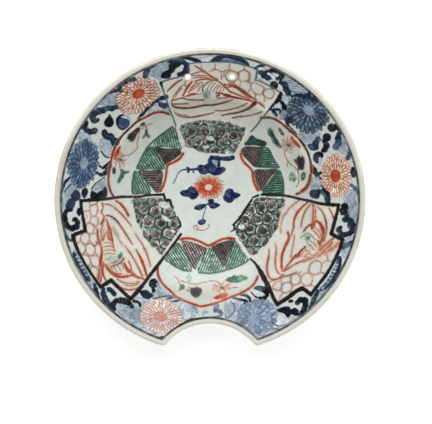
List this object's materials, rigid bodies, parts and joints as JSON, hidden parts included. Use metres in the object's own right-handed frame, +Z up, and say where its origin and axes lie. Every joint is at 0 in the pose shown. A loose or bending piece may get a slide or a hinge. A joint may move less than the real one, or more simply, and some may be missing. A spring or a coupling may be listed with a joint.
{
  "type": "barber bowl",
  "caption": "Round porcelain shaving basin with a deep well, a broad rim notched to fit the neck, holes for a hanging cord, a foot ring and painted enamel panels.",
  "frame": {"origin": "on the bowl's axis, in the plane of the foot's bare rim", "axes": "+Z up along the bowl's axis, -Y towards the neck notch, +Y towards the cord holes"},
  "size_m": [0.27, 0.2639, 0.0523],
  "materials": {
    "porcelain": "bare fired porcelain, matt",
    "glaze": "clear glossy glaze with a pale grey-green tint",
    "cream_edge": "glossy cream glaze, thin and worn along the edge",
    "cobalt": "cobalt blue under a glossy glaze",
    "iron_red": "iron red enamel, slightly satin",
    "pale_red": "thin iron red line",
    "green": "translucent green enamel, glossy",
    "aubergine": "translucent aubergine enamel, glossy",
    "black": "black enamel line"
  },
  "bodies": {
    "root": {"body": "porcelain", "foot_ring": "porcelain", "front_glaze": "glaze", "back_glaze": "glaze", "base_glaze": "glaze", "lip_glaze": "cream_edge", "border_line": "cobalt", "blue_flowers": "cobalt", "blue_leaves": "cobalt", "red_flowers": "iron_red", "fan_frames": "black", "hexagon_diaper": "pale_red", "fan_birds": "iron_red", "panel_outlines": "iron_red", "panel_blossoms": "iron_red", "panel_leaves": "green", "brocade_net": "green", "brocade_cells": "aubergine", "green_triangles": "green", "aubergine_triangles": "aubergine", "centre_brackets": "iron_red", "centre_flower": "iron_red", "centre_leaves": "cobalt"}
  },
  "joints": []
}
